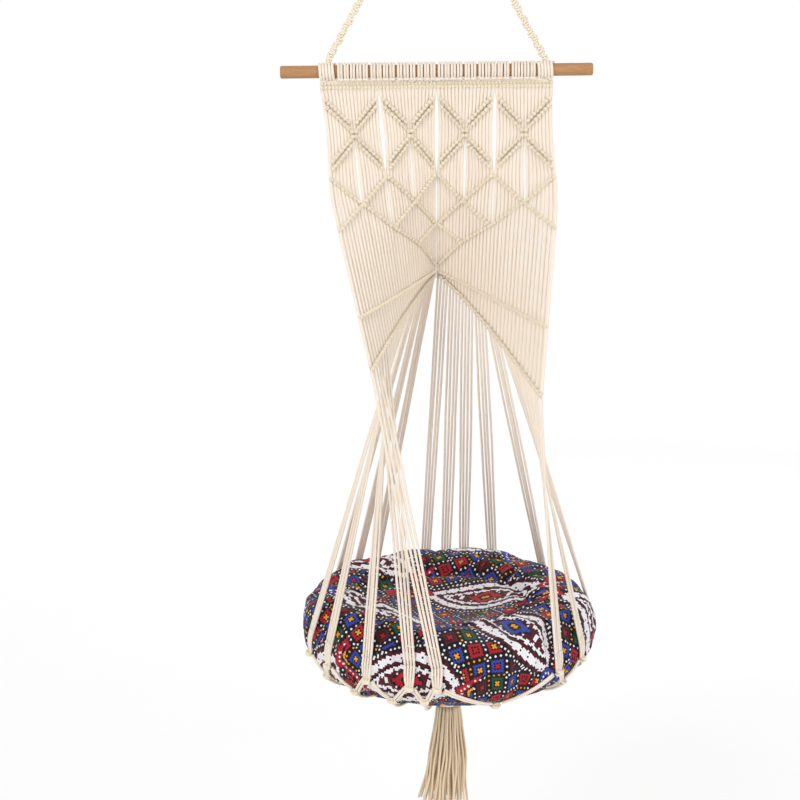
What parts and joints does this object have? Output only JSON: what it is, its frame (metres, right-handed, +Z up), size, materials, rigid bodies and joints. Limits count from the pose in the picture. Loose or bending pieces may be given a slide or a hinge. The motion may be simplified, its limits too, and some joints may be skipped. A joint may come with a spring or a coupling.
{
  "type": "hanging cat hammock",
  "caption": "Hanging cat hammock: a knotted cotton cord panel and cords hang from a wooden dowel and cradle a round dished cushion, with a tassel below.",
  "frame": {"origin": "Where a hook bears at the top of the hanging ring's eye", "axes": "+Z up along the hang line, +X along the dowel, the nest's open front along -Y"},
  "size_m": [0.4735, 0.4689, 1.5159],
  "materials": {
    "cotton_cord": "matte",
    "dowel_wood": "satin",
    "ring_steel": "satin",
    "cushion_cloth": "matte",
    "cushion_fill": "matte"
  },
  "bodies": {
    "ring": {"hanging_ring": "ring_steel"},
    "sling": {"ring_sling": "cotton_cord", "sling_binding": "cotton_cord", "apex_knot": "cotton_cord"},
    "hanger": {"hanger_left": "cotton_cord", "hanger_right": "cotton_cord", "hitch_left": "cotton_cord", "hitch_right": "cotton_cord", "dowel": "dowel_wood"},
    "basket": {"larks_heads": "cotton_cord", "header_row_upper": "cotton_cord", "header_row_lower": "cotton_cord", "panel_cords_1": "cotton_cord", "panel_cords_2": "cotton_cord", "panel_cords_3": "cotton_cord", "panel_cords_4": "cotton_cord", "chevron_rows": "cotton_cord", "diamond_rows": "cotton_cord", "arch_left_upper": "cotton_cord", "arch_left_lower": "cotton_cord", "arch_right_upper": "cotton_cord", "arch_right_lower": "cotton_cord", "drop_cords_01": "cotton_cord", "drop_cords_02": "cotton_cord", "drop_cords_03": "cotton_cord", "drop_cords_04": "cotton_cord", "drop_cords_05": "cotton_cord", "drop_cords_06": "cotton_cord", "drop_cords_07": "cotton_cord", "drop_cords_08": "cotton_cord", "drop_cords_09": "cotton_cord", "drop_cords_10": "cotton_cord", "drop_cords_11": "cotton_cord", "drop_cords_12": "cotton_cord", "drop_cords_13": "cotton_cord", "drop_cords_14": "cotton_cord", "drop_cords_15": "cotton_cord", "drop_cords_16": "cotton_cord", "cradle_cords": "cotton_cord", "rim_knots": "cotton_cord", "net_branches": "cotton_cord", "net_knots": "cotton_cord", "net_spokes": "cotton_cord", "cushion_cover": "cushion_cloth", "cushion_filling": "cushion_fill"},
    "crown": {"crown_knot": "cotton_cord"},
    "tassel": {"neck_core": "cotton_cord", "neck_binding": "cotton_cord", "tassel": "cotton_cord"}
  },
  "joints": [
    {"name": "ring_swing", "type": "hinge", "parent": "ring", "child": "sling", "pos_m": [0, 0, -0.0325], "axis": [1, 0, 0], "range_deg": [-20, 20]},
    {"name": "hanger_sway", "type": "hinge", "parent": "sling", "child": "hanger", "pos_m": [0, 0, -0.0714], "axis": [0, 1, 0], "range_deg": [-15, 15]},
    {"name": "panel_swing", "type": "hinge", "parent": "hanger", "child": "basket", "pos_m": [0, 0, -0.3614], "axis": [1, 0, 0], "range_deg": [-25, 25]},
    {"name": "tassel_swing", "type": "hinge", "parent": "basket", "child": "crown", "pos_m": [0.014, 0, -1.2937], "axis": [1, 0, 0], "range_deg": [-20, 20]},
    {"name": "tassel_sway", "type": "hinge", "parent": "crown", "child": "tassel", "pos_m": [0.014, 0, -1.2937], "axis": [0, 1, 0], "range_deg": [-20, 20]}
  ]
}
